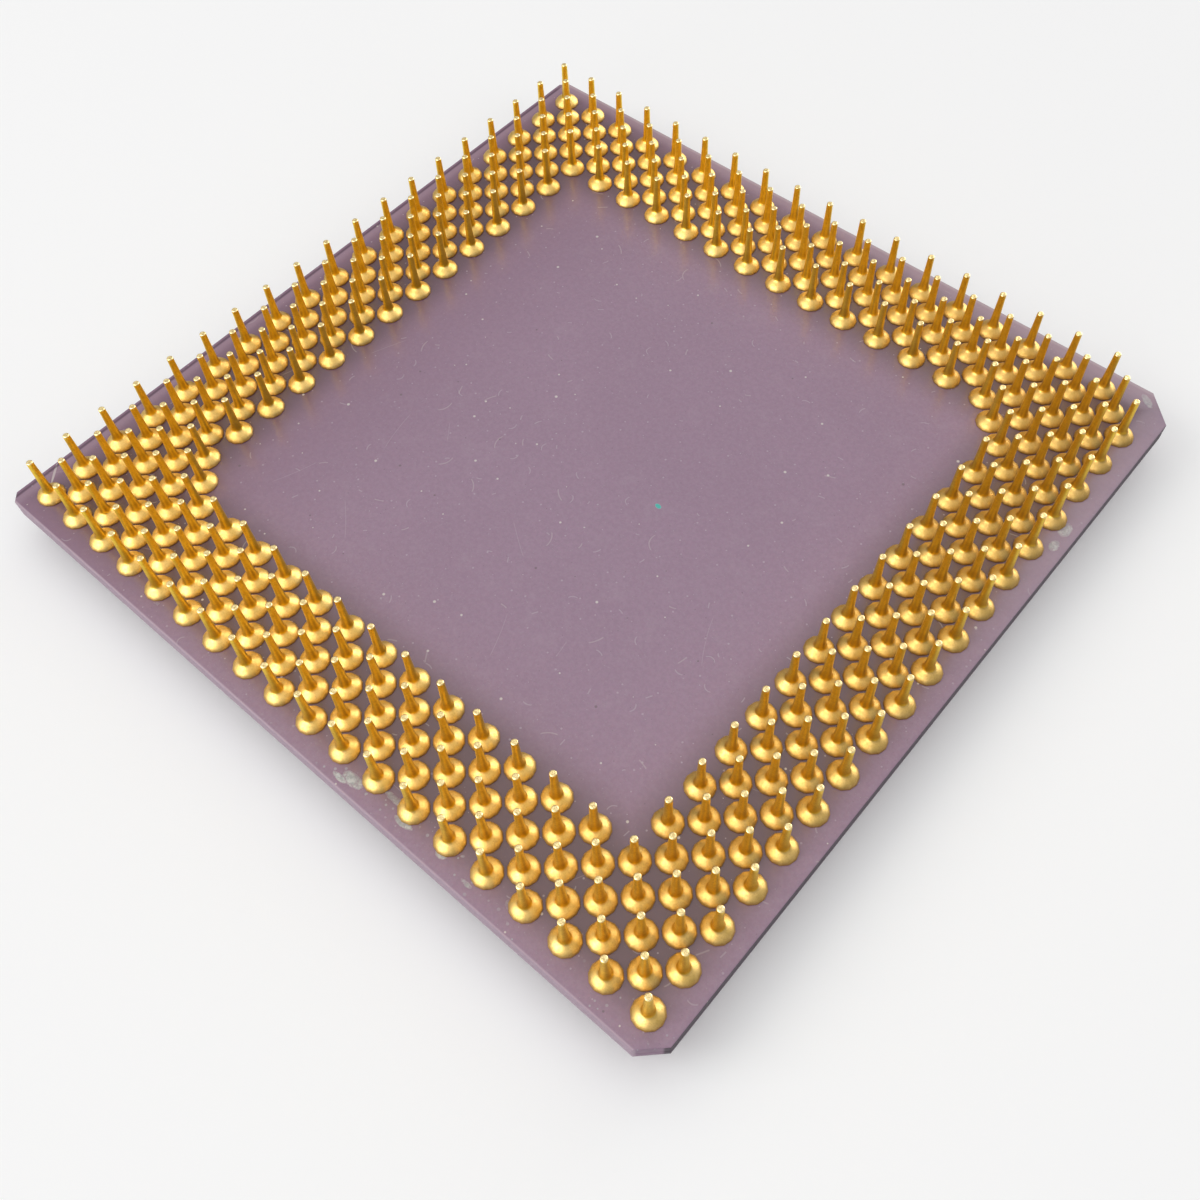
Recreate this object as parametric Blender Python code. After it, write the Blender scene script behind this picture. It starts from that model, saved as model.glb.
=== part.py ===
"""Ceramic pin-grid-array computer processor, lying on its metal lid with the pins pointing up.

The lid's outer face is on z = 0 and the contact pins point along +Z. The edges of the square package
lie along X and Y, and the index corner, where one pin place is left empty, is at +X +Y.
"""

import math

import bmesh
import bpy

MM = 0.001
GAP = 0.02 * MM

# Package body
BODY_HALF = 24.60 * MM
BODY_THICKNESS = 1.41 * MM
BODY_EDGE_BEVEL = 0.09 * MM
SCORE_DEPTH = 0.03 * MM
SCORE_WIDTH = 0.06 * MM
INDEX_CHAMFER = 1.75 * MM
FRONT_RIGHT_CHAMFER = 1.25 * MM
PLAIN_CHAMFER = 0.50 * MM

# Lid
LID_HEIGHT = 1.86 * MM
LID_FLANGE_HALF = 22.50 * MM
LID_FLANGE_RADIUS = 1.20 * MM
LID_PLATEAU_HALF = 16.00 * MM
LID_PLATEAU_RADIUS = 1.50 * MM
LID_PLATEAU_RISE = 0.56 * MM
LID_EDGE_BEVEL = 0.12 * MM
LID_CEILING = 0.96 * MM
LID_CAVITY_HALF = 17.80 * MM
LID_CAVITY_RADIUS = 1.50 * MM
SEAL_THICKNESS = 0.08 * MM
SEAL_INSET = 0.25 * MM
CORNER_STEPS = 4

# Die and what holds it
DIE_HALF = 4.50 * MM
DIE_THICKNESS = 0.70 * MM
INTERFACE_HALF = 4.75 * MM
INTERFACE_THICKNESS = 0.08 * MM
UNDERFILL_SKIRT = 0.35 * MM

# Decoupling capacitors
CAPACITOR_LENGTH = 2.00 * MM
CAPACITOR_WIDTH = 1.25 * MM
CAPACITOR_HEIGHT = 0.60 * MM
CAPACITOR_TERMINAL = 0.40 * MM
CAPACITOR_WAIST = 0.03 * MM
CAPACITOR_DISTANCE = 7.60 * MM
CAPACITOR_SPACING = 3.20 * MM

# Contact pins
HALF_PITCH = 1.27 * MM
GRID_PLACES = 37
PIN_ROWS = 5
BLOCK_COLUMNS = 8
INDEX_PLACE = (36, 36)
KEY_PLACES = ((5, 5), (31, 31))
PIN_LENGTH = 3.15 * MM
PAD_SIDES = 12
PAD_RADIUS = 0.85 * MM
PAD_HEIGHT = 0.12 * MM
FILLET_TOP = 0.78 * MM
SHAFT_SIDES = 6
ROOT_RADIUS = 0.270 * MM
TIP_RADIUS = 0.205 * MM

BODY_BOTTOM = LID_HEIGHT
BODY_TOP = BODY_BOTTOM + BODY_THICKNESS
PIN_BASE = BODY_TOP + GAP
SMOOTH_BELOW = math.radians(62)


def clear_scene():
    for obj in list(bpy.data.objects):
        bpy.data.objects.remove(obj, do_unlink=True)


def material(name, color, metallic, roughness):
    made = bpy.data.materials.new(name)
    made.use_nodes = True
    shader = made.node_tree.nodes["Principled BSDF"]
    shader.inputs["Base Color"].default_value = (*color, 1.0)
    shader.inputs["Metallic"].default_value = metallic
    shader.inputs["Roughness"].default_value = roughness
    made.diffuse_color = (*color, 1.0)
    return made


def add_object(name, points, faces, look):
    """One closed mesh object. The faces are turned outwards, and edges under SMOOTH_BELOW shade smooth."""
    color, metallic, roughness = look
    mesh = bpy.data.meshes.new(name)
    mesh.from_pydata(points, [], faces)
    shape = bmesh.new()
    shape.from_mesh(mesh)
    bmesh.ops.recalc_face_normals(shape, faces=shape.faces)
    shape.to_mesh(mesh)
    shape.free()
    mesh.shade_smooth()
    mesh.set_sharp_from_angle(angle=SMOOTH_BELOW)
    mesh.materials.append(material(name, color, metallic, roughness))
    obj = bpy.data.objects.new(name, mesh)
    bpy.context.scene.collection.objects.link(obj)
    return obj


def loft(rings, closed=False):
    """Points and faces of a skin over rings that all have the same count. It is capped, or joined end to end."""
    count = len(rings[0])
    points = [point for ring in rings for point in ring]
    last = len(rings) if closed else len(rings) - 1
    faces = []
    for level in range(last):
        low = level * count
        high = (level + 1) % len(rings) * count
        for step in range(count):
            after = (step + 1) % count
            faces.append((low + step, low + after, high + after, high + step))
    if not closed:
        faces.append(tuple(range(count)))
        faces.append(tuple(range(last * count, last * count + count)))
    return points, faces


def rounded_square(half, radius, z):
    """A ring of points round a square with rounded corners."""
    ring = []
    for corner in range(4):
        turn = corner * math.pi / 2 + math.pi / 4
        reach = (half - radius) * math.sqrt(2)
        center = (reach * math.cos(turn), reach * math.sin(turn))
        for step in range(CORNER_STEPS + 1):
            angle = turn - math.pi / 4 + step * math.pi / 2 / CORNER_STEPS
            x = center[0] + radius * math.cos(angle)
            y = center[1] + radius * math.sin(angle)
            ring.append((x, y, z))
    return ring


def body_outline(inset, z):
    """The package's square with a chamfer across each corner, drawn in by inset all round."""
    half = BODY_HALF - inset
    corners = (
        (1, 1, INDEX_CHAMFER),
        (-1, 1, PLAIN_CHAMFER),
        (-1, -1, PLAIN_CHAMFER),
        (1, -1, FRONT_RIGHT_CHAMFER),
    )
    # Drawing an edge in by inset shortens a 45 degree chamfer by this much of it.
    shorten = inset * (2 - math.sqrt(2))
    ring = []
    for sign_x, sign_y, full_chamfer in corners:
        chamfer = full_chamfer - shorten
        on_side = (sign_x * half, sign_y * (half - chamfer), z)
        on_end = (sign_x * (half - chamfer), sign_y * half, z)
        pair = (on_side, on_end) if sign_x == sign_y else (on_end, on_side)
        ring.extend(pair)
    return ring


def add_ceramic_body():
    score = BODY_BOTTOM + BODY_THICKNESS / 2
    levels = (
        (BODY_EDGE_BEVEL, BODY_BOTTOM),
        (0.0, BODY_BOTTOM + BODY_EDGE_BEVEL),
        (0.0, score - SCORE_WIDTH),
        (SCORE_DEPTH, score),
        (0.0, score + SCORE_WIDTH),
        (0.0, BODY_TOP - BODY_EDGE_BEVEL),
        (BODY_EDGE_BEVEL, BODY_TOP),
    )
    points, faces = loft([body_outline(inset, z) for inset, z in levels])
    add_object("ceramic_body", points, faces, ((0.30, 0.215, 0.28), 0.0, 0.45))


def add_lid():
    """A square cap: a raised plateau outside, a flange round it, and a shallow cavity for the die inside."""
    rim = LID_HEIGHT - SEAL_THICKNESS - 2 * GAP
    step_radius = LID_PLATEAU_RADIUS + LID_EDGE_BEVEL
    levels = (
        (LID_PLATEAU_HALF - LID_EDGE_BEVEL, LID_PLATEAU_RADIUS - LID_EDGE_BEVEL, 0.0),
        (LID_PLATEAU_HALF, LID_PLATEAU_RADIUS, LID_EDGE_BEVEL),
        (LID_PLATEAU_HALF, LID_PLATEAU_RADIUS, LID_PLATEAU_RISE - LID_EDGE_BEVEL),
        (LID_PLATEAU_HALF + LID_EDGE_BEVEL, step_radius, LID_PLATEAU_RISE),
        (LID_FLANGE_HALF - LID_EDGE_BEVEL, LID_FLANGE_RADIUS - LID_EDGE_BEVEL, LID_PLATEAU_RISE),
        (LID_FLANGE_HALF, LID_FLANGE_RADIUS, LID_PLATEAU_RISE + LID_EDGE_BEVEL),
        (LID_FLANGE_HALF, LID_FLANGE_RADIUS, rim),
        (LID_CAVITY_HALF, LID_CAVITY_RADIUS, rim),
        (LID_CAVITY_HALF, LID_CAVITY_RADIUS, LID_CEILING),
    )
    points, faces = loft([rounded_square(*level) for level in levels])
    add_object("lid", points, faces, ((0.62, 0.60, 0.56), 1.0, 0.35))


def add_lid_seal():
    outer = LID_FLANGE_HALF - SEAL_INSET
    inner = LID_CAVITY_HALF + SEAL_INSET
    top = BODY_BOTTOM - GAP
    bottom = top - SEAL_THICKNESS
    rings = [
        rounded_square(outer, LID_FLANGE_RADIUS, bottom),
        rounded_square(outer, LID_FLANGE_RADIUS, top),
        rounded_square(inner, LID_CAVITY_RADIUS, top),
        rounded_square(inner, LID_CAVITY_RADIUS, bottom),
    ]
    points, faces = loft(rings, closed=True)
    add_object("lid_seal", points, faces, ((0.05, 0.05, 0.055), 0.0, 0.6))


def add_slab(name, half, low, high, look, skirt=0.0):
    """A square layer whose upper edge is wider than its lower one by skirt on each side."""
    rings = []
    for reach, z in ((half, low), (half + skirt, high)):
        rings.append([(reach, reach, z), (-reach, reach, z), (-reach, -reach, z), (reach, -reach, z)])
    points, faces = loft(rings)
    add_object(name, points, faces, look)


def add_die_stack():
    interface_low = LID_CEILING + GAP
    interface_high = interface_low + INTERFACE_THICKNESS
    die_low = interface_high + GAP
    die_high = die_low + DIE_THICKNESS
    underfill_low = die_high + GAP
    underfill_high = BODY_BOTTOM - GAP
    grey_paste = ((0.55, 0.56, 0.58), 0.0, 0.7)
    silicon = ((0.06, 0.065, 0.08), 0.2, 0.2)
    epoxy = ((0.03, 0.03, 0.035), 0.0, 0.5)
    add_slab("thermal_interface", INTERFACE_HALF, interface_low, interface_high, grey_paste)
    add_slab("silicon_die", DIE_HALF, die_low, die_high, silicon)
    add_slab("underfill", DIE_HALF, underfill_low, underfill_high, epoxy, UNDERFILL_SKIRT)


def add_capacitor(name, center, along_x):
    """A chip capacitor under the body: a ceramic block, slightly waisted between its two end terminals."""
    top = BODY_BOTTOM - GAP
    half_length = CAPACITOR_LENGTH / 2
    waist_at = half_length - CAPACITOR_TERMINAL
    stations = (
        (-half_length, 0.0),
        (-waist_at, 0.0),
        (-waist_at, CAPACITOR_WAIST),
        (waist_at, CAPACITOR_WAIST),
        (waist_at, 0.0),
        (half_length, 0.0),
    )
    rings = []
    for reach, inset in stations:
        side = CAPACITOR_WIDTH / 2 - inset
        low = top - CAPACITOR_HEIGHT + inset
        high = top - inset
        ring = []
        for across, z in ((side, low), (side, high), (-side, high), (-side, low)):
            offset = (reach, across) if along_x else (across, reach)
            ring.append((center[0] + offset[0], center[1] + offset[1], z))
        rings.append(ring)
    points, faces = loft(rings)
    add_object(name, points, faces, ((0.42, 0.33, 0.24), 0.0, 0.5))


def add_capacitors():
    """Three capacitors along each side of the die."""
    number = 0
    for sign in (-1, 1):
        for along_x in (True, False):
            for place in (-1, 0, 1):
                number += 1
                away = sign * CAPACITOR_DISTANCE
                beside = place * CAPACITOR_SPACING
                center = (beside, away) if along_x else (away, beside)
                add_capacitor(f"chip_capacitor_{number:02d}", center, along_x)


def place_center(place):
    middle = (GRID_PLACES - 1) / 2
    return (place[0] - middle) * HALF_PITCH, (place[1] - middle) * HALF_PITCH


def corner_ring(center, radius, sides, z):
    """A regular ring of corners round a pin's axis, the first of them towards +X."""
    turns = [corner * 2 * math.pi / sides for corner in range(sides)]
    return [(center[0] + radius * math.cos(turn), center[1] + radius * math.sin(turn), z) for turn in turns]


def pin_shape(place):
    """Points and faces of one pin: a twelve-sided pad, the braze fillet that rises from its rim, and the shaft."""
    center = place_center(place)
    # Six corners with the cross-section area of the round shaft.
    widening = math.sqrt(2 * math.pi / (SHAFT_SIDES * math.sin(2 * math.pi / SHAFT_SIDES)))
    pad_rings = [corner_ring(center, PAD_RADIUS, PAD_SIDES, PIN_BASE + rise) for rise in (0.0, PAD_HEIGHT)]
    shaft_rings = [
        corner_ring(center, ROOT_RADIUS * widening, SHAFT_SIDES, PIN_BASE + FILLET_TOP),
        corner_ring(center, TIP_RADIUS * widening, SHAFT_SIDES, BODY_TOP + PIN_LENGTH),
    ]
    points, faces = loft(pad_rings)
    shaft_points, shaft_faces = loft(shaft_rings)
    # The pad keeps the cap at its foot and the shaft the one at its tip.
    faces.pop()
    del shaft_faces[-2]
    rim = PAD_SIDES
    root = len(points)
    points.extend(shaft_points)
    faces.extend(tuple(root + corner for corner in face) for face in shaft_faces)
    for side in range(SHAFT_SIDES):
        after = (side + 1) % SHAFT_SIDES
        between = rim + 2 * side + 1
        faces.append((rim + 2 * side, between, root + side))
        faces.append((between, rim + 2 * after, root + after))
        faces.append((between, root + after, root + side))
    return points, faces


def diagonal_links(places):
    """Pairs of diagonal neighbours that join all the places into one chain with no loops."""
    steps = ((1, 1, 1), (-1, 1, 4), (-1, -1, 7), (1, -1, 10))
    reached = [places[0]]
    links = []
    for place in reached:
        for step_x, step_y, flat in steps:
            neighbour = (place[0] + step_x, place[1] + step_y)
            if neighbour in places and neighbour not in reached:
                reached.append(neighbour)
                links.append((place, neighbour, flat))
    return links


def add_pins(name, places):
    """A block of pins as one body, their pads joined by short bridges between facing flats."""
    points = []
    faces = []
    start = {}
    for place in places:
        start[place] = len(points)
        pin_points, pin_faces = pin_shape(place)
        points.extend(pin_points)
        faces.extend(tuple(start[place] + corner for corner in face) for face in pin_faces)
    bridged = set()
    bridges = []
    for place, neighbour, flat in diagonal_links(places):
        facing = (flat + PAD_SIDES // 2) % PAD_SIDES
        near = [start[place] + (flat + turn) % PAD_SIDES for turn in (0, 1)]
        far = [start[neighbour] + (facing + turn) % PAD_SIDES for turn in (1, 0)]
        near_up = [corner + PAD_SIDES for corner in near]
        far_up = [corner + PAD_SIDES for corner in far]
        bridged.add(frozenset(near + near_up))
        bridged.add(frozenset(far + far_up))
        bridges.append((near[0], near[1], far[1], far[0]))
        bridges.append((near_up[0], far_up[0], far_up[1], near_up[1]))
        bridges.append((near[0], far[0], far_up[0], near_up[0]))
        bridges.append((near[1], near_up[1], far_up[1], far[1]))
    faces = [face for face in faces if frozenset(face) not in bridged] + bridges
    add_object(name, points, faces, ((0.83, 0.56, 0.17), 1.0, 0.28))


def pin_block(side, block):
    """The grid places of one block: five rows deep, on one side of the package, counted round the square."""
    places = []
    for column in range(block * BLOCK_COLUMNS, (block + 1) * BLOCK_COLUMNS):
        for row in range(PIN_ROWS):
            place = (column, row)
            for _ in range(side):
                place = (GRID_PLACES - 1 - place[1], place[0])
            if sum(place) % 2 == 0 and place != INDEX_PLACE:
                places.append(place)
    return places


def add_all_pins():
    blocks_per_side = (GRID_PLACES - PIN_ROWS) // BLOCK_COLUMNS
    for side, side_name in enumerate(("front", "right", "back", "left")):
        for block in range(blocks_per_side):
            add_pins(f"pins_{side_name}_{block + 1}", pin_block(side, block))
    for number, place in enumerate(KEY_PLACES, start=1):
        add_pins(f"key_pin_{number}", [place])


def main():
    clear_scene()
    add_ceramic_body()
    add_lid()
    add_lid_seal()
    add_die_stack()
    add_capacitors()
    add_all_pins()


main()
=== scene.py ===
"""Looks for the ceramic pin-grid-array processor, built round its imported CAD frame."""

import math
import random

import bpy
import numpy as np
from mathutils import Matrix, Vector


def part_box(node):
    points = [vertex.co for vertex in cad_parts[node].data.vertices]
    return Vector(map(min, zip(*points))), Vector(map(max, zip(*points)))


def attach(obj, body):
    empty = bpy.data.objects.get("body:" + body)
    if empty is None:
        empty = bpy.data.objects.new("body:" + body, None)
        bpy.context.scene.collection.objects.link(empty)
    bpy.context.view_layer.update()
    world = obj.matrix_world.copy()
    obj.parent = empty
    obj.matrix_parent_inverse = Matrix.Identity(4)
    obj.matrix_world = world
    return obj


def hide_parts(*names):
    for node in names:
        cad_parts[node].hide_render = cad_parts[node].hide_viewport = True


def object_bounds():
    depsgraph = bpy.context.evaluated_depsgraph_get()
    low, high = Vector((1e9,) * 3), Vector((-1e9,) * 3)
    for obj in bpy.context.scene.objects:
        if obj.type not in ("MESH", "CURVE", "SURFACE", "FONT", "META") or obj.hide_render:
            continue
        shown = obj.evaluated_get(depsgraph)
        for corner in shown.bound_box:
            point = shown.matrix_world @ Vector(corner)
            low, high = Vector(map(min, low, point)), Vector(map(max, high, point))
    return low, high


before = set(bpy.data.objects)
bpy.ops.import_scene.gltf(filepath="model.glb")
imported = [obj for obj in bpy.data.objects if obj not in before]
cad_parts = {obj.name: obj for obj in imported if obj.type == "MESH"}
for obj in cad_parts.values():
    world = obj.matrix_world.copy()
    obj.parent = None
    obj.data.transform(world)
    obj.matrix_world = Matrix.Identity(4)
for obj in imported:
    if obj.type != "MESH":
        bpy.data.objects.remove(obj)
cad_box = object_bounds()

MM = 0.001
BODY = "root"

# The CAD's own layout, which the detailed pieces repeat.
HALF_PITCH = 1.27 * MM
GRID_PLACES = 37
PIN_ROWS = 5
BLOCK_COLUMNS = 8
INDEX_PLACE = (36, 36)
KEY_PLACES = ((5, 5), (31, 31))
INDEX_CHAMFER = 1.75 * MM
FRONT_RIGHT_CHAMFER = 1.25 * MM
PLAIN_CHAMFER = 0.50 * MM
LID_FLANGE_RADIUS = 1.20 * MM
LID_PLATEAU_HALF = 16.00 * MM
LID_PLATEAU_RADIUS = 1.50 * MM
LID_PLATEAU_RISE = 0.56 * MM
LID_CEILING = 0.96 * MM
LID_CAVITY_HALF = 17.80 * MM
LID_CAVITY_RADIUS = 1.50 * MM

body_low, body_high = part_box("ceramic_body")
lid_low, lid_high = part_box("lid")
pin_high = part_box("key_pin_1")[1]

# Seen from the pin grid's middle, the body reaches this much further on its left side than on its right.
LEFT_EXTRA = 0.09 * MM

# The turned pins. Lengths here are in millimetres, and angles in degrees.
PIN_SIDES = 36
PAD_CORNERS = 12
PAD_RADIUS = 0.855
PIN_LIFT = 0.004
# The domed pad's outline above the pin's foot: radius as a share of the pad's, height in millimetres, and
# how sharply its twelve corners show.
PAD_OUTLINE = (
    (0.975, 0.000, 0.85),
    (0.995, 0.012, 0.85),
    (1.000, 0.038, 0.85),
    (0.985, 0.082, 0.85),
    (0.950, 0.148, 0.65),
    (0.900, 0.212, 0.45),
    (0.840, 0.268, 0.30),
    (0.770, 0.320, 0.18),
    (0.690, 0.372, 0.06),
    (0.600, 0.424, 0.00),
    (0.520, 0.466, 0.00),
)
# The trumpet's and the shaft's outline above the foot: radius and height in millimetres.
SHAFT_OUTLINE = (
    (0.390, 0.506),
    (0.352, 0.548),
    (0.324, 0.600),
    (0.301, 0.668),
    (0.284, 0.752),
    (0.271, 0.850),
    (0.260, 0.980),
    (0.249, 1.170),
    (0.237, 1.450),
    (0.224, 1.820),
    (0.212, 2.250),
    (0.202, 2.700),
)
TIP_RADIUS = 0.195
TIP_FLAT_RADIUS = 0.120
TIP_ROUNDING = 0.070
TIP_DISH = 0.010
TIP_STEPS = 5
PIN_CREASE = 48.0

# The ceramic's outline has eight sides, chamfers and long edges in turn, each divided into short steps.
BODY_SIDES = 8
BODY_STEPS = (6, 240, 4, 240, 4, 240, 6, 240)
EDGE_SEED = 100
RINGS_PER_SEED = 3
WAVES_PER_SIDE = 9

# The lid's rounded edges and fillets.
LID_EDGE = 0.12 * MM
LID_EDGE_STEPS = 5
LID_CORNER_STEPS = 12

# The camera looks down over the corner between the front and right sides. Angles are in degrees, the
# aim's height is above the ceramic, lengths are in millimetres, and the clipping distances in metres.
CAMERA_AZIMUTH = 44.01
CAMERA_ELEVATION = 58.79
CAMERA_ROLL = -3.65
CAMERA_AIM_HEIGHT = 3.07
CAMERA_DISTANCE = 69.64
CAMERA_RIGHT = -0.442
CAMERA_UP = -10.319
CAMERA_LENS = 36.58
CAMERA_SENSOR = 36.0
CAMERA_CLIP = (0.001, 10.0)

# Round area lights: name, azimuth and elevation in degrees, distance and size in metres, and power.
KEY_LIGHT = ("key_left", 228, 38, 0.60, 0.36, 0.8)
FLOOR_LIGHTS = (
    ("floor_fill_right", 0, 26, 0.60, 0.40, 0.40),
    ("floor_fill_front", 285, 13, 0.60, 0.40, 0.50),
    ("floor_fill_back", 100, 22, 0.60, 0.40, 0.35),
)
PIN_LIGHTS = (
    ("pin_light", 261, 33, 0.60, 0.52, 3.8),
    ("pin_back_light", 80, 20, 0.60, 0.48, 3.4),
)
# The sky's strength rises smoothly from the horizon to overhead: direction's height, then strength.
SKY_RISE = (0.30, 0.85)
SKY_STRENGTH = (0.12, 1.06)

# The floor's half size in metres, and its number of squares along a side.
FLOOR_REACH = 0.9
FLOOR_SQUARES = 24
FLOOR_WHITE = 0.95


def mesh_piece(name, points, faces, material, slot, *nodes, smooth_below=35.0):
    """A closed mesh piece that rides on the body and stands for the CAD nodes named."""
    mesh = bpy.data.meshes.new(name)
    mesh.from_pydata([tuple(point) for point in points], [], faces)
    mesh.validate()
    mesh.shade_smooth()
    mesh.set_sharp_from_angle(angle=math.radians(smooth_below))
    mesh.materials.append(material)
    piece = bpy.data.objects.new(name, mesh)
    bpy.context.scene.collection.objects.link(piece)
    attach(piece, BODY)
    if nodes:
        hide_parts(*nodes)
    return piece


def skin_faces(levels, count, offset=0):
    """Quads between rings of count points, and both end caps. Counter-clockwise rings make them face out."""
    faces = []
    for level in range(levels - 1):
        low = offset + level * count
        high = low + count
        for step in range(count):
            after = (step + 1) % count
            faces.append((low + step, low + after, high + after, high + step))
    top = offset + (levels - 1) * count
    faces.append(tuple(offset + step for step in reversed(range(count))))
    faces.append(tuple(top + step for step in range(count)))
    return faces


# ---------------------------------------------------------------- materials


class Shader:
    """A small wrapper that builds a node tree with one call per node."""

    def __init__(self, name):
        self.material = bpy.data.materials.new(name)
        self.material.use_nodes = True
        self.tree = self.material.node_tree
        self.surface = self.tree.nodes["Principled BSDF"]

    def node(self, kind, inputs=(), **settings):
        """A new node with its settings and its inputs, by name."""
        made = self.tree.nodes.new(kind)
        for key, value in settings.items():
            setattr(made, key, value)
        for key, value in dict(inputs).items():
            self.feed(made.inputs[key], value)
        return made

    def feed(self, socket, value):
        """Link a socket to another one, or set its own value."""
        if isinstance(value, bpy.types.NodeSocket):
            self.tree.links.new(value, socket)
        elif isinstance(value, tuple) and len(value) == 3 and socket.type == "RGBA":
            socket.default_value = (*value, 1.0)
        else:
            socket.default_value = value

    def set(self, **values):
        """Feed the surface's inputs, named with underscores for spaces."""
        for key, value in values.items():
            self.feed(self.surface.inputs[key.replace("_", " ")], value)

    def position(self):
        """The point on the surface in millimetres, in the part's own frame."""
        coords = self.node("ShaderNodeTexCoord").outputs["Object"]
        return self.vector("SCALE", coords, scale=1000.0)

    def parts(self, vector):
        """The X, Y and Z of a vector."""
        split = self.node("ShaderNodeSeparateXYZ", {"Vector": vector})
        return split.outputs["X"], split.outputs["Y"], split.outputs["Z"]

    def vector(self, operation, first, second=None, scale=None):
        """The result of one vector operation, which is a number for a length."""
        made = self.node("ShaderNodeVectorMath", operation=operation)
        self.feed(made.inputs[0], first)
        if second is not None:
            self.feed(made.inputs[1], second)
        if scale is not None:
            self.feed(made.inputs["Scale"], scale)
        return made.outputs["Value" if operation == "LENGTH" else "Vector"]

    def math(self, operation, first, second=None):
        made = self.node("ShaderNodeMath", operation=operation)
        self.feed(made.inputs[0], first)
        if second is not None:
            self.feed(made.inputs[1], second)
        return made.outputs["Value"]

    def product(self, first, *others):
        """All the values multiplied together."""
        made = first
        for other in others:
            made = self.math("MULTIPLY", made, other)
        return made

    def ramp(self, value, start, end, low=0.0, high=1.0):
        """Smooth step from low at start to high at end."""
        inputs = {"Value": value, "From Min": start, "From Max": end, "To Min": low, "To Max": high}
        made = self.node("ShaderNodeMapRange", inputs, interpolation_type="SMOOTHSTEP")
        return made.outputs["Result"]

    def noise(self, position, scale, detail=2.0, roughness=0.5, distortion=0.0):
        inputs = {
            "Vector": position,
            "Scale": scale,
            "Detail": detail,
            "Roughness": roughness,
            "Distortion": distortion,
        }
        return self.node("ShaderNodeTexNoise", inputs).outputs["Fac"]

    def mix(self, factor, first, second):
        made = self.node("ShaderNodeMix", data_type="RGBA")
        self.feed(made.inputs["Factor"], factor)
        self.feed(made.inputs["A"], first)
        self.feed(made.inputs["B"], second)
        return next(socket for socket in made.outputs if socket.type == "RGBA")

    def tint(self, color, mask, amount, target):
        """The color, moved towards the target by amount where the mask is 1."""
        return self.mix(self.math("MULTIPLY", mask, amount), color, target)

    def bump(self, height, distance, strength, normal=None):
        inputs = {"Height": height, "Distance": distance, "Strength": strength}
        if normal is not None:
            inputs["Normal"] = normal
        return self.node("ShaderNodeBump", inputs).outputs["Normal"]

    def cells(self, position, scale):
        """Random cells: the offset from each cell's own point, and three random numbers."""
        inputs = {"Vector": position, "Scale": scale}
        made = self.node("ShaderNodeTexVoronoi", inputs, voronoi_dimensions="2D")
        offset = self.vector("SUBTRACT", position, made.outputs["Position"])
        split = self.node("ShaderNodeSeparateColor", {"Color": made.outputs["Color"]})
        return offset, [split.outputs[key] for key in ("Red", "Green", "Blue")]

    def turned(self, offset, angle):
        """The offset's two plane coordinates, in axes turned by angle."""
        inputs = {"Vector": offset, "Angle": angle}
        made = self.node("ShaderNodeVectorRotate", inputs, rotation_type="Z_AXIS")
        along, across, _ = self.parts(made.outputs["Vector"])
        return along, across

    def strokes(self, position, scale, share, half_length, half_width, curl):
        """Hair-thin strokes, one in a share of the random cells, each bent by up to curl."""
        offset, chance = self.cells(position, scale)
        along, across = self.turned(offset, self.math("MULTIPLY", chance[0], math.tau))
        bend = self.math("MULTIPLY", self.math("SUBTRACT", chance[1], 0.5), 2.0 * curl)
        sag = self.math("MULTIPLY", bend, self.math("MULTIPLY", along, along))
        aside = self.math("ABSOLUTE", self.math("SUBTRACT", across, sag))
        line = self.ramp(aside, half_width, half_width * 0.3)
        reach = self.math("MULTIPLY", self.math("ADD", chance[1], 0.4), half_length)
        end = self.ramp(self.math("DIVIDE", self.math("ABSOLUTE", along), reach), 1.0, 0.8)
        there = self.math("LESS_THAN", chance[2], share)
        return self.product(line, end, there)

    def dots(self, position, scale, share, radius):
        """Small round specks of random size, one in a share of the random cells."""
        offset, chance = self.cells(position, scale)
        size = self.math("MULTIPLY", self.math("ADD", chance[0], 0.35), radius)
        away = self.math("DIVIDE", self.vector("LENGTH", offset), size)
        there = self.math("LESS_THAN", chance[2], share)
        return self.product(self.ramp(away, 1.0, 0.5), there)

    def patch(self, position, center, reach, turn):
        """An oval patch, 1 in the middle and 0 at its outline."""
        offset = self.vector("SUBTRACT", position, (*center, 0.0))
        along, across = self.turned(offset, math.radians(-turn))
        first = self.math("DIVIDE", along, reach[0])
        second = self.math("DIVIDE", across, reach[1])
        squares = self.math("ADD", self.product(first, first), self.product(second, second))
        return self.ramp(squares, 1.0, 0.0)


def flat_position(shader):
    """The surface point in millimetres with its height taken out."""
    return shader.vector("MULTIPLY", shader.position(), (1.0, 1.0, 0.0))


# Chalky marks on the ceramic's pin side: centre and half size in millimetres, turn in degrees, strength.
CHALK_MARKS = (
    ((22.85, 23.80), (0.80, 0.34), -38.0, 0.9),
    ((23.85, 12.50), (0.50, 0.75), 0.0, 0.9),
    ((23.90, 11.20), (0.40, 0.60), 0.0, 0.8),
    ((4.10, -23.75), (0.95, 0.48), 0.0, 0.9),
    ((3.50, -24.08), (0.75, 0.26), 0.0, 0.8),
    ((7.70, -23.70), (0.85, 0.32), 0.0, 0.9),
    ((6.60, -23.10), (1.30, 0.30), 0.0, 0.7),
    ((10.30, -23.55), (0.50, 0.45), 0.0, 0.9),
    ((12.30, -23.90), (0.60, 0.20), 0.0, 0.6),
    ((14.80, -23.30), (0.70, 0.45), 0.0, 0.6),
    ((-12.10, -23.60), (0.45, 0.40), 0.0, 0.4),
)
CHALK_DARK = (0.40, 0.44, 0.44)
CHALK_PALE = (0.68, 0.72, 0.71)

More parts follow.
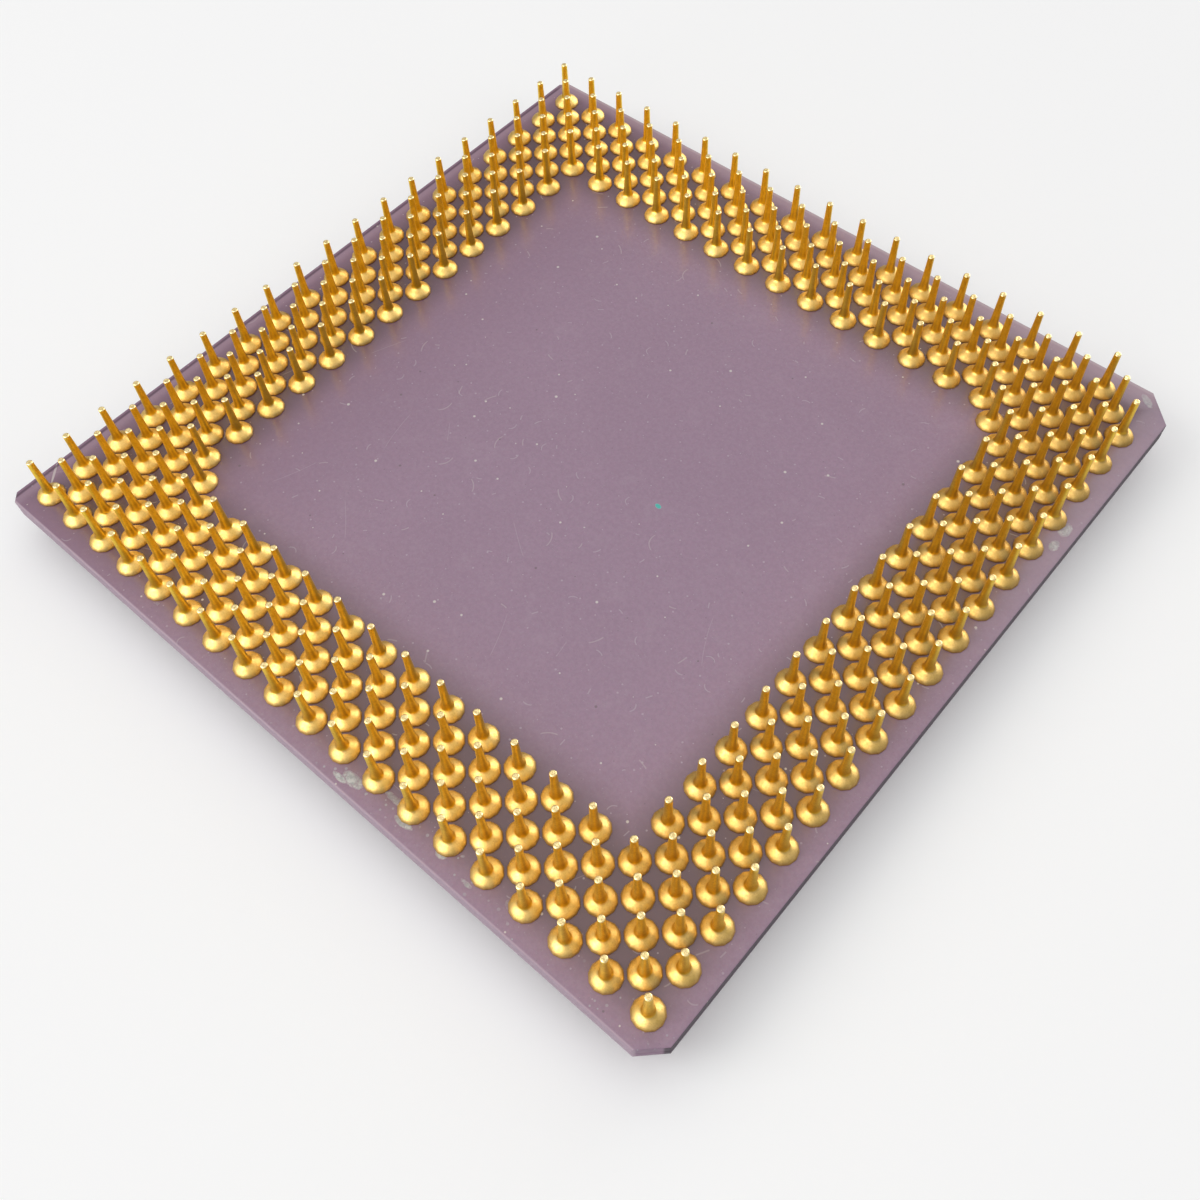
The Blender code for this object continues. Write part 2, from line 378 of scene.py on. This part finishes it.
# One teal speck and one scratch: middle and half size in millimetres, and turn in degrees.
TEAL_SPECK = ((5.22, -0.74), (0.25, 0.16), -8.0)
TEAL_RIM_COLOR = (0.21, 0.46, 0.46)
TEAL_COLOR = (0.050, 0.47, 0.41)
EDGE_SCRATCH = ((-24.10, -21.80), (0.95, 0.09), -49.0)
SCRATCH_COLOR = (0.62, 0.58, 0.58)

# The ceramic's colours, as linear red, green and blue.
CERAMIC = (0.322, 0.200, 0.288)
CERAMIC_CLOUD = (0.342, 0.214, 0.307)
CERAMIC_GRAIN = (0.325, 0.222, 0.300)
CERAMIC_MOTTLE = (0.245, 0.140, 0.215)
CERAMIC_PIT = (0.13, 0.085, 0.115)
CERAMIC_HAZE = (0.45, 0.36, 0.42)
# Painted shade on the ceramic's left side.
CERAMIC_LEFT_SHADE = (0.205, 0.108, 0.180)
# Painted shade in the field between the pins, darker towards the left.
PIN_FIELD_SHADE = (0.126, 0.079, 0.099)
PIN_FIELD_SHADE_LEFT = (0.090, 0.050, 0.074)
CERAMIC_GLOSS = (0.20, 0.28)
CERAMIC_MATT_EXTRA = 0.50
CERAMIC_IOR = 1.62


def ceramic_grain(shader, solid_point, point, grain):
    """The bare mauve ceramic: slow clouds, grain, mottling, pits and a pale haze."""
    cloud = shader.ramp(shader.noise(point, 0.10, 2.0), 0.3, 0.7)
    color = shader.mix(cloud, CERAMIC, CERAMIC_CLOUD)
    color = shader.mix(shader.ramp(grain, 0.35, 0.75), color, CERAMIC_GRAIN)
    mottle = shader.ramp(shader.noise(solid_point, 3.4, 3.0, 0.75), 0.32, 0.68)
    color = shader.tint(color, mottle, 0.30, CERAMIC_MOTTLE)
    pits = shader.ramp(shader.noise(solid_point, 5.5, 1.0), 0.74, 0.80, 0.0, 0.35)
    color = shader.mix(pits, color, CERAMIC_PIT)
    haze = shader.ramp(shader.noise(point, 0.55, 4.0, 0.65, 0.4), 0.50, 0.78, 0.0, 0.14)
    return shader.mix(haze, color, CERAMIC_HAZE)


def chalk_mask(shader, point):
    """Where the chalky marks lie: crumbly ovals, split by thin cracks."""
    chalk = None
    for center, reach, turn, strength in CHALK_MARKS:
        mark = shader.product(shader.patch(point, center, reach, turn), strength)
        chalk = mark if chalk is None else shader.math("MAXIMUM", chalk, mark)
    crumbs = shader.product(shader.noise(point, 2.4, 4.0, 0.7, 0.6), 0.9)
    chalk = shader.ramp(shader.math("ADD", chalk, crumbs), 0.80, 1.20, 0.0, 0.88)
    vein = shader.math("SUBTRACT", shader.noise(point, 1.5, 3.0, 0.6, 0.8), 0.5)
    return shader.product(chalk, shader.ramp(shader.math("ABSOLUTE", vein), 0.0, 0.035, 0.35, 1.0))


def with_dust(shader, color, point, x, south, on_top):
    """Specks, hairs, lint and scuffs all over, and pale flecks along the front edge."""
    color = shader.tint(color, shader.dots(point, 1.15, 0.35, 0.060), 0.40, (0.52, 0.45, 0.52))
    color = shader.tint(color, shader.dots(point, 0.42, 0.30, 0.085), 0.80, (0.66, 0.61, 0.58))
    color = shader.tint(color, shader.dots(point, 0.26, 0.22, 0.085), 0.50, (0.10, 0.08, 0.07))
    hairs = shader.strokes(point, 0.62, 0.20, 0.24, 0.050, 2.0)
    color = shader.tint(color, hairs, 0.30, (0.54, 0.49, 0.53))
    lint = shader.strokes(point, 0.34, 0.22, 0.42, 0.055, 0.8)
    color = shader.tint(color, lint, 0.25, (0.60, 0.55, 0.53))
    scuffs = shader.strokes(point, 0.17, 0.18, 1.20, 0.035, 0.04)
    color = shader.tint(color, scuffs, 0.20, (0.50, 0.43, 0.48))
    dusty = shader.ramp(shader.noise(point, 0.30, 2.0), 0.40, 0.55)
    near_edge = shader.product(shader.ramp(south, 2.1, 1.2), shader.ramp(x, -5.0, 2.0))
    flecks = shader.product(shader.dots(point, 2.3, 0.34, 0.085), near_edge, dusty, on_top)
    return shader.tint(color, flecks, 0.55, (0.44, 0.47, 0.50))


def with_single_marks(shader, color, point):
    """The teal speck with its paler rim, and the scratch near the left corner."""
    teal = shader.patch(point, *TEAL_SPECK)
    color = shader.mix(shader.ramp(teal, 0.0, 0.30, 0.0, 0.85), color, TEAL_RIM_COLOR)
    color = shader.mix(shader.ramp(teal, 0.25, 0.65, 0.0, 0.95), color, TEAL_COLOR)
    scratch = shader.patch(point, *EDGE_SCRATCH)
    return shader.mix(shader.ramp(scratch, 0.0, 0.6, 0.0, 0.7), color, SCRATCH_COLOR)


def with_edges(shader, color, x, y, ring, south, sides):
    """How each edge differs, with a painted highlight along the south top edge and painted shade on the east
    side face: masks are millimetres in from the west, south, north and east sides.
    """
    west = shader.math("SUBTRACT", x, (body_low.x - LEFT_EXTRA) / MM)
    pale_strip = shader.product(shader.ramp(west, 1.10, 0.55), shader.ramp(west, 0.34, 0.42))
    color = shader.tint(color, pale_strip, 0.25, (0.45, 0.33, 0.40))
    dark_line = shader.product(shader.ramp(west, 0.39, 0.30), shader.ramp(west, 0.13, 0.22))
    color = shader.tint(color, dark_line, 0.75, (0.085, 0.040, 0.072))
    to_index = shader.ramp(shader.math("ADD", x, y), 18.0, 38.0)
    film = shader.product(to_index, shader.ramp(ring, 22.6, 23.4))
    color = shader.tint(color, film, 0.26, (0.52, 0.44, 0.50))
    # Painted highlight along the south top edge.
    color = shader.mix(shader.ramp(south, 0.15, 0.06, 0.0, 0.70), color, (0.54, 0.41, 0.49))
    north = shader.math("SUBTRACT", body_high.y / MM, y)
    color = shader.mix(shader.ramp(north, 1.2, 0.2, 0.0, 0.55), color, (0.46, 0.33, 0.38))
    color = shader.mix(shader.ramp(north, 0.32, 0.12, 0.0, 0.50), color, (0.62, 0.50, 0.54))
    east = shader.math("SUBTRACT", body_high.x / MM, x)
    # Painted shade: the +X side face is made dark.
    east_side_shade = shader.product(shader.ramp(east, 0.30, 0.16), sides)
    return shader.tint(color, east_side_shade, 0.88, (0.040, 0.026, 0.040))


def ceramic_material():
    """Semi-gloss mauve ceramic with painted shade between the pins, towards −X and on its +X side face, and a
    painted highlight along its front top edge; dusty, and chalky in places along its edges.
    """
    shader = Shader("mauve_ceramic")
    solid_point = shader.position()
    point = flat_position(shader)
    x, y, _ = shader.parts(point)
    height = shader.parts(solid_point)[2]
    top = body_high.z / MM
    on_top = shader.ramp(height, top - 0.15, top - 0.05)
    sides = shader.ramp(height, top - 0.01, top - 0.05)
    ring = shader.math("MAXIMUM", shader.math("ABSOLUTE", x), shader.math("ABSOLUTE", y))
    south = shader.math("SUBTRACT", y, body_low.y / MM)
    grain = shader.noise(solid_point, 9.0, 3.0, 0.6)

    color = ceramic_grain(shader, solid_point, point, grain)
    chalk = shader.product(chalk_mask(shader, point), on_top)
    lumps = shader.ramp(shader.noise(point, 3.6, 4.0, 0.65), 0.35, 0.65)
    color = shader.mix(chalk, color, shader.mix(lumps, CHALK_DARK, CHALK_PALE))
    # Painted shade: the ceramic is made darker towards −X.
    color = shader.mix(shader.ramp(x, -6.0, -22.0, 0.0, 0.62), color, CERAMIC_LEFT_SHADE)
    # Painted shade: the ceramic between the pins is darkened where the pins shade it.
    between_pins = shader.product(shader.ramp(ring, 15.0, 18.6), shader.ramp(ring, 24.5, 21.9))
    pin_field_shade = shader.mix(shader.ramp(x, -6.0, -19.0), PIN_FIELD_SHADE, PIN_FIELD_SHADE_LEFT)
    color = shader.tint(color, between_pins, 0.95, pin_field_shade)
    color = with_dust(shader, color, point, x, south, on_top)
    color = with_single_marks(shader, color, point)
    color = with_edges(shader, color, x, y, ring, south, sides)

    matt = shader.product(shader.math("MAXIMUM", chalk, sides), CERAMIC_MATT_EXTRA)
    rough = shader.math("ADD", shader.ramp(grain, 0.2, 0.8, *CERAMIC_GLOSS), matt)
    relief = shader.bump(grain, 0.0045 * MM, 0.5)
    relief = shader.bump(shader.noise(point, 0.8, 2.0), 0.006 * MM, 0.4, relief)
    shader.set(Base_Color=color, Roughness=rough, Normal=relief, IOR=CERAMIC_IOR)
    return shader.material


# The gold's colours, as linear red, green and blue: a darker and a lighter tone where there are two.
PAD_GOLD = ((0.70, 0.475, 0.140), (0.80, 0.555, 0.195))
# Lit and shaded copies of one gold plate: the darker trumpet and the rim brown are painted shade, and the
# pale tip is a painted highlight.
TRUMPET_SHADE_GOLD = ((0.69, 0.41, 0.024), (0.79, 0.49, 0.034))
SHAFT_GOLD = ((0.84, 0.56, 0.045), (0.93, 0.65, 0.070))
TIP_HIGHLIGHT_GOLD = (1.0, 0.82, 0.42)
RIM_SHADE_BROWN = (0.62, 0.33, 0.05)
GRAIN_BROWN = (0.52, 0.31, 0.08)
# Painted shade towards the index corner.
INDEX_SHADE_BROWN = (0.43, 0.26, 0.075)
WORN_BROWN = (0.55, 0.40, 0.16)
GOLD_GLOSS = (0.33, 0.46)
PAD_MATT_EXTRA = 0.11


def gold_material():
    """Satin gold plate: creamy on the domed pads, amber up the shafts, with painted shade on the trumpets, at
    the pads' rims and towards the index corner, and a painted highlight on the tips, which have worn marks.
    """
    shader = Shader("satin_gold")
    point = shader.position()
    x, y, height = shader.parts(point)
    foot = body_high.z / MM
    tip = pin_high.z / MM
    grain = shader.noise(point, 10.0, 3.0, 0.65)
    blotch = shader.ramp(shader.noise(point, 2.6, 3.0, 0.55), 0.3, 0.7)
    pad = shader.mix(blotch, *PAD_GOLD)
    trumpet_shade = shader.mix(blotch, *TRUMPET_SHADE_GOLD)
    shaft = shader.mix(blotch, *SHAFT_GOLD)
    # Painted shade: darker gold on the trumpet.
    color = shader.mix(shader.ramp(height, foot + 0.50, foot + 0.62), pad, trumpet_shade)
    color = shader.mix(shader.ramp(height, foot + 0.70, foot + 1.60), color, shaft)
    # Painted highlight on the tip, and painted shade in a brown line at the pad's rim.
    color = shader.mix(shader.ramp(height, tip - 0.09, tip - 0.03), color, TIP_HIGHLIGHT_GOLD)
    color = shader.mix(shader.ramp(height, foot + 0.09, foot + 0.02), color, RIM_SHADE_BROWN)
    color = shader.mix(shader.ramp(grain, 0.45, 0.75, 0.0, 0.45), color, GRAIN_BROWN)
    # Painted shade: the gold is made darker towards the index corner, most on the pads.
    to_index = shader.ramp(shader.math("ADD", x, y), 5.0, 44.0, 0.0, 0.34)
    most_on_pads = shader.ramp(height, foot + 0.46, foot + 0.62, 1.45, 0.80)
    color = shader.mix(shader.product(to_index, most_on_pads), color, INDEX_SHADE_BROWN)
    worn = shader.ramp(shader.noise(point, 14.0, 2.0, 0.6), 0.40, 0.62, 0.0, 0.75)
    worn = shader.product(worn, shader.ramp(height, tip - 0.03, tip - 0.01))
    color = shader.mix(worn, color, WORN_BROWN)
    domed = shader.ramp(height, foot + 0.62, foot + 0.46, 0.0, PAD_MATT_EXTRA)
    rough = shader.math("ADD", shader.ramp(grain, 0.2, 0.8, *GOLD_GLOSS), domed)
    relief = shader.bump(grain, 0.008 * MM, 0.6)
    shader.set(Base_Color=color, Metallic=1.0, Roughness=rough, Normal=relief)
    return shader.material


def nickel_material():
    """Satin nickel plate with fine handling scratches."""
    shader = Shader("satin_nickel")
    point = shader.position()
    plane = flat_position(shader)
    stretched = shader.vector("MULTIPLY", point, (1.0, 14.0, 1.0))
    brushed = shader.noise(stretched, 1.6, 4.0, 0.6)
    cloud = shader.ramp(shader.noise(point, 0.16, 3.0), 0.3, 0.7)
    color = shader.mix(cloud, (0.60, 0.585, 0.55), (0.67, 0.655, 0.62))
    marks = shader.product(shader.strokes(plane, 0.22, 0.5, 2.4, 0.020, 0.05), 0.55)
    fine = shader.product(shader.strokes(plane, 0.5, 0.6, 1.0, 0.014, 0.1), 0.35)
    wear = shader.math("MAXIMUM", marks, fine)
    color = shader.mix(wear, color, (0.86, 0.85, 0.83))
    rough = shader.math("ADD", shader.ramp(brushed, 0.2, 0.8, 0.24, 0.42), shader.product(wear, 0.15))
    relief = shader.bump(brushed, 0.003 * MM, 0.4)
    relief = shader.bump(shader.math("SUBTRACT", 1.0, wear), 0.004 * MM, 0.6, relief)
    shader.set(Base_Color=color, Metallic=1.0, Roughness=rough, Normal=relief)
    return shader.material


def grainy_material(name, dark, light, scale, rough_low, rough_high, relief, metallic=0.0):
    """A two-tone solid with its own grain, scale per millimetre and relief in millimetres."""
    shader = Shader(name)
    point = shader.position()
    grain = shader.noise(point, scale, 4.0, 0.6)
    color = shader.mix(shader.ramp(grain, 0.3, 0.7), dark, light)
    rough = shader.ramp(grain, 0.2, 0.8, rough_low, rough_high)
    bumps = shader.bump(grain, relief * MM, 0.6)
    shader.set(Base_Color=color, Roughness=rough, Metallic=metallic, Normal=bumps)
    return shader.material


# ---------------------------------------------------------------- pieces


def place_center(place):
    """The X and Y of a place on the grid."""
    middle = (GRID_PLACES - 1) / 2
    return (place[0] - middle) * HALF_PITCH, (place[1] - middle) * HALF_PITCH


def pad_factor(angle, corners):
    """How far a regular outline with its corners at multiples of its pitch lies inside its round one."""
    half_pitch = math.pi / corners
    return math.cos(half_pitch) / math.cos(angle % (2 * half_pitch) - half_pitch)


def tip_outline():
    """Radius and height in millimetres above the tip, from its rounded shoulder in to its dished middle."""
    outline = []
    for step in range(TIP_STEPS):
        angle = step * math.pi / 2 / (TIP_STEPS - 1)
        radius = TIP_FLAT_RADIUS + (TIP_RADIUS - TIP_FLAT_RADIUS) * math.cos(angle)
        outline.append((radius, -TIP_ROUNDING * (1 - math.sin(angle))))
    outline.append((TIP_FLAT_RADIUS * 0.7, -TIP_DISH * 0.6))
    outline.append((TIP_FLAT_RADIUS * 0.35, -TIP_DISH))
    return outline


def pin_rings():
    """One pin's rings of (x, y, z) points round its own axis, from its foot to its tip."""
    turns = [step * math.tau / PIN_SIDES for step in range(PIN_SIDES)]
    foot = body_high.z + PIN_LIFT * MM
    tip = pin_high.z
    profile = []
    for share, height, sharpness in PAD_OUTLINE:
        flats = [1 - sharpness + sharpness * pad_factor(turn, PAD_CORNERS) for turn in turns]
        profile.append(([share * PAD_RADIUS * MM * flat for flat in flats], foot + height * MM))
    for radius, height in SHAFT_OUTLINE:
        profile.append(([radius * MM] * PIN_SIDES, foot + height * MM))
    for radius, height in tip_outline():
        profile.append(([radius * MM] * PIN_SIDES, tip + height * MM))
    return [[(r * math.cos(t), r * math.sin(t), z) for r, t in zip(radii, turns)] for radii, z in profile]


def pins_piece(name, places, material, *nodes):
    """One piece with a whole pin, as its own closed body, at each of the places."""
    rings = pin_rings()
    outline = np.array([point for ring in rings for point in ring])
    points = []
    faces = []
    for place in places:
        faces.extend(skin_faces(len(rings), PIN_SIDES, len(points)))
        points.extend((outline + (*place_center(place), 0.0)).tolist())
    return mesh_piece(name, points, faces, material, "pin_gold", *nodes, smooth_below=PIN_CREASE)


def pin_block(side, block):
    """The grid places of one block, counted as the CAD counts them."""
    places = []
    for column in range(block * BLOCK_COLUMNS, (block + 1) * BLOCK_COLUMNS):
        for row in range(PIN_ROWS):
            place = (column, row)
            for _ in range(side):
                place = (GRID_PLACES - 1 - place[1], place[0])
            if sum(place) % 2 == 0 and place != INDEX_PLACE:
                places.append(place)
    return places


def all_pins(material):
    """Every block of pins and the two key pins, named after the CAD nodes that they stand for."""
    pins = []
    blocks_per_side = (GRID_PLACES - PIN_ROWS) // BLOCK_COLUMNS
    for side, side_name in enumerate(("front", "right", "back", "left")):
        for block in range(blocks_per_side):
            label = f"{side_name}_{block + 1}"
            places = pin_block(side, block)
            pins.append(pins_piece(f"turned_pins_{label}", places, material, f"pins_{label}"))
    for number, place in enumerate(KEY_PLACES, start=1):
        pins.append(pins_piece(f"turned_key_pin_{number}", [place], material, f"key_pin_{number}"))
    return pins


def body_corner_points(inset, z):
    """The outline's eight corners, counter-clockwise from the right end of the index chamfer."""
    half = body_high.x - inset
    corners = (
        (1, 1, INDEX_CHAMFER),
        (-1, 1, PLAIN_CHAMFER),
        (-1, -1, PLAIN_CHAMFER),
        (1, -1, FRONT_RIGHT_CHAMFER),
    )
    shorten = inset * (2 - math.sqrt(2))
    ring = []
    for sign_x, sign_y, full_chamfer in corners:
        chamfer = max(full_chamfer - shorten, 0.05 * MM)
        reach = half + (LEFT_EXTRA if sign_x < 0 else 0.0)
        on_side = Vector((sign_x * reach, sign_y * (half - chamfer), z))
        on_end = Vector((sign_x * (reach - chamfer), sign_y * half, z))
        ring.extend((on_side, on_end) if sign_x == sign_y else (on_end, on_side))
    return ring


def body_ring(inset, z, steps, wobble):
    """The chamfered outline, divided into short steps and moved in or out by wobble(side, share)."""
    corners = body_corner_points(inset, z)
    ring = []
    for side, start in enumerate(corners):
        end = corners[(side + 1) % len(corners)]
        along = (end - start).normalized()
        inward = Vector((-along.y, along.x, 0.0))
        for step in range(steps[side]):
            share = step / steps[side]
            ring.append(start.lerp(end, share) + inward * wobble(side, share))
    return ring


def edge_noise(seed, size):
    """Smooth random waviness along each side, zero at its ends."""
    chance = random.Random(seed)
    waves = [
        [(chance.uniform(3, 90), chance.uniform(0, math.tau)) for _ in range(WAVES_PER_SIDE)]
        for _ in range(BODY_SIDES)
    ]

    def wobble(side, share):
        total = sum(math.sin(share * count * math.pi + phase) for count, phase in waves[side])
        return size * total / WAVES_PER_SIDE * math.sin(math.pi * share) ** 0.25

    return wobble


def ceramic_levels():
    """The body's rings from its lid side to its pin side: inset and waviness in millimetres, and height."""
    low, high = body_low.z, body_high.z
    middle = (low + high) / 2
    return (
        (2.000, low, 0.000),
        (0.300, low, 0.000),
        (0.120, low + 0.010 * MM, 0.012),
        (0.040, low + 0.045 * MM, 0.008),
        (0.000, low + 0.120 * MM, 0.000),
        (0.000, middle - 0.085 * MM, 0.000),
        (0.012, middle - 0.040 * MM, 0.004),
        (0.034, middle, 0.006),
        (0.012, middle + 0.040 * MM, 0.004),
        (0.000, middle + 0.085 * MM, 0.000),
        (0.000, high - 0.060 * MM, 0.002),
        (0.006, high - 0.030 * MM, 0.004),
        (0.022, high - 0.010 * MM, 0.005),
        (0.050, high, 0.006),
        (0.300, high, 0.000),
        (2.000, high, 0.000),
    )


def ceramic_piece(material):
    """The package body, with softly rounded edges, a scored line round its sides, and slight waviness."""
    levels = ceramic_levels()
    points = []
    for number, (inset, z, size) in enumerate(levels):
        wobble = edge_noise(EDGE_SEED + number // RINGS_PER_SEED, size * MM)
        points.extend(body_ring((inset + size) * MM, z, BODY_STEPS, wobble))
    faces = skin_faces(len(levels), sum(BODY_STEPS))
    return mesh_piece("laminated_ceramic_body", points, faces, material, "package_ceramic", "ceramic_body")


def rounded_ring(half, radius, z):
    """A square ring with rounded corners, counter-clockwise from its right side."""
    ring = []
    for corner in range(4):
        turn = corner * math.pi / 2 + math.pi / 4
        reach = (half - radius) * math.sqrt(2)
        for step in range(LID_CORNER_STEPS + 1):
            angle = turn - math.pi / 4 + step * math.pi / 2 / LID_CORNER_STEPS
            x = reach * math.cos(turn) + radius * math.cos(angle)
            y = reach * math.sin(turn) + radius * math.sin(angle)
            ring.append((x, y, z))
    return ring


def lid_levels():
    """Half size, corner radius and height of the lid's rings, from its outer face to its cavity's ceiling."""
    bottom, top = lid_low.z, lid_high.z
    flange_half = lid_high.x
    rim = 0.05 * MM
    ease = 0.03 * MM
    cove = 0.10 * MM
    arcs = [step * math.pi / 2 / (LID_EDGE_STEPS - 1) for step in range(LID_EDGE_STEPS)]
    levels = []
    for angle in arcs:
        shrink = LID_EDGE * (1 - math.sin(angle))
        z = bottom + LID_EDGE * (1 - math.cos(angle))
        levels.append((LID_PLATEAU_HALF - shrink, LID_PLATEAU_RADIUS - shrink, z))
    for angle in arcs:
        grow = LID_EDGE * (1 - math.cos(angle))
        z = bottom + LID_PLATEAU_RISE - LID_EDGE + LID_EDGE * math.sin(angle)
        levels.append((LID_PLATEAU_HALF + grow, LID_PLATEAU_RADIUS + grow, z))
    for angle in arcs:
        shrink = LID_EDGE * (1 - math.sin(angle))
        z = bottom + LID_PLATEAU_RISE + LID_EDGE * (1 - math.cos(angle))
        levels.append((flange_half - shrink, LID_FLANGE_RADIUS - shrink, z))
    levels.append((flange_half, LID_FLANGE_RADIUS, top - rim))
    levels.append((flange_half - ease, LID_FLANGE_RADIUS - ease, top))
    levels.append((LID_CAVITY_HALF + rim, LID_CAVITY_RADIUS, top))
    levels.append((LID_CAVITY_HALF, LID_CAVITY_RADIUS, top - rim))
    levels.append((LID_CAVITY_HALF, LID_CAVITY_RADIUS, LID_CEILING + cove))
    levels.append((LID_CAVITY_HALF - cove, LID_CAVITY_RADIUS, LID_CEILING))
    return levels


def lid_piece(material):
    """The coined lid: rounded plateau edge, a small fillet at its foot, rounded flange, and the cavity."""
    rings = [rounded_ring(*level) for level in lid_levels()]
    points = [point for ring in rings for point in ring]
    faces = skin_faces(len(rings), len(rings[0]))
    return mesh_piece("coined_lid", points, faces, material, "lid_metal", "lid")


def node_looks():
    """Better materials for the CAD nodes that stay."""
    looks = {
        "lid_seal": grainy_material(
            "seal_epoxy", (0.022, 0.022, 0.024), (0.045, 0.044, 0.046), 6.0, 0.45, 0.65, 0.006
        ),
        "silicon_die": grainy_material(
            "polished_silicon", (0.050, 0.055, 0.070), (0.062, 0.068, 0.085), 2.0, 0.08, 0.16, 0.0004, 0.35
        ),
        "underfill": grainy_material(
            "filled_epoxy", (0.016, 0.016, 0.018), (0.035, 0.034, 0.034), 9.0, 0.35, 0.55, 0.006
        ),
        "thermal_interface": grainy_material(
            "interface_paste", (0.44, 0.45, 0.47), (0.56, 0.57, 0.59), 4.0, 0.55, 0.8, 0.01
        ),
    }
    capacitor = grainy_material(
        "capacitor_body", (0.34, 0.25, 0.17), (0.42, 0.32, 0.22), 12.0, 0.4, 0.6, 0.004
    )
    for name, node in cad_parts.items():
        look = capacitor if name.startswith("chip_capacitor") else looks.get(name)
        if look is not None:
            node.data.materials.clear()
            node.data.materials.append(look)


# ---------------------------------------------------------------- studio


def studio_floor():
    """A wide, flat, pale sheet that the part lies on."""
    row_length = FLOOR_SQUARES + 1
    marks = [(step / FLOOR_SQUARES - 0.5) * 2 * FLOOR_REACH for step in range(row_length)]
    points = [(x, y, cad_box[0][2]) for y in marks for x in marks]
    faces = []
    for row in range(FLOOR_SQUARES):
        for column in range(FLOOR_SQUARES):
            corner = row * row_length + column
            faces.append((corner, corner + 1, corner + row_length + 1, corner + row_length))
    mesh = bpy.data.meshes.new("studio_floor")
    mesh.from_pydata(points, [], faces)
    shader = Shader("pale_floor")
    shader.set(Base_Color=(FLOOR_WHITE,) * 3, Roughness=0.9, Specular_IOR_Level=0.0)
    mesh.materials.append(shader.material)
    floor = bpy.data.objects.new("studio_floor", mesh)
    bpy.context.scene.collection.objects.link(floor)
    return floor


def soft_light(name, azimuth, elevation, distance, size, power, only=()):
    """A round area light that faces the part, with azimuth from +X towards +Y, for all or some objects."""
    data = bpy.data.lights.new(name, "AREA")
    data.shape = "DISK"
    data.size = size
    data.energy = power
    light = bpy.data.objects.new(name, data)
    turn, rise = math.radians(azimuth), math.radians(elevation)
    toward = Vector((math.cos(turn) * math.cos(rise), math.sin(turn) * math.cos(rise), math.sin(rise)))
    light.location = toward * distance
    light.rotation_euler = toward.to_track_quat("Z", "Y").to_euler()
    if only:
        lit = bpy.data.collections.new(f"{name}_lit")
        for piece in only:
            lit.objects.link(piece)
        light.light_linking.receiver_collection = lit
    bpy.context.scene.collection.objects.link(light)


def studio_sky():
    """A white sky that is dim at the horizon and bright overhead."""
    world = bpy.data.worlds.new("studio")
    bpy.context.scene.world = world
    world.use_nodes = True
    tree = world.node_tree
    background = tree.nodes["Background"]
    background.inputs["Color"].default_value = (1.0, 1.0, 1.0, 1.0)
    direction = tree.nodes.new("ShaderNodeTexCoord")
    split = tree.nodes.new("ShaderNodeSeparateXYZ")
    rise = tree.nodes.new("ShaderNodeMapRange")
    tree.links.new(direction.outputs["Generated"], split.inputs[0])
    tree.links.new(split.outputs["Z"], rise.inputs["Value"])
    rise.inputs["From Min"].default_value, rise.inputs["From Max"].default_value = SKY_RISE
    rise.inputs["To Min"].default_value, rise.inputs["To Max"].default_value = SKY_STRENGTH
    tree.links.new(rise.outputs["Result"], background.inputs["Strength"])


def studio_lights(pins, floor):
    """The key light, which reaches everything, and the lights that reach only the floor or only the pins."""
    soft_light(*KEY_LIGHT)
    for light in FLOOR_LIGHTS:
        soft_light(*light, only=[floor])
    for light in PIN_LIGHTS:
        soft_light(*light, only=pins)


def studio_camera():
    """The view over the corner between the front and right sides, from above."""
    azimuth = math.radians(CAMERA_AZIMUTH)
    elevation = math.radians(CAMERA_ELEVATION)
    roll = math.radians(CAMERA_ROLL)
    back = Vector((
        math.sin(azimuth) * math.cos(elevation),
        -math.cos(azimuth) * math.cos(elevation),
        math.sin(elevation),
    ))
    right = Vector((math.cos(azimuth), math.sin(azimuth), 0.0))
    up = back.cross(right)
    aim = Vector((0.0, 0.0, body_high.z + CAMERA_AIM_HEIGHT * MM))
    place = aim + (back * CAMERA_DISTANCE + right * CAMERA_RIGHT + up * CAMERA_UP) * MM
    turned_right = right * math.cos(roll) + up * math.sin(roll)
    turned_up = up * math.cos(roll) - right * math.sin(roll)
    data = bpy.data.cameras.new("camera")
    data.sensor_width = CAMERA_SENSOR
    data.lens = CAMERA_LENS
    data.clip_start, data.clip_end = CAMERA_CLIP
    camera = bpy.data.objects.new("camera", data)
    turned = Matrix((turned_right, turned_up, back)).transposed().to_4x4()
    camera.matrix_world = Matrix.Translation(place) @ turned
    bpy.context.scene.collection.objects.link(camera)
    bpy.context.scene.camera = camera


def main():
    ceramic_piece(ceramic_material())
    pins = all_pins(gold_material())
    lid_piece(nickel_material())
    node_looks()
    studio_sky()
    studio_lights(pins, studio_floor())
    studio_camera()
    bpy.context.scene.view_settings.view_transform = "Standard"


main()
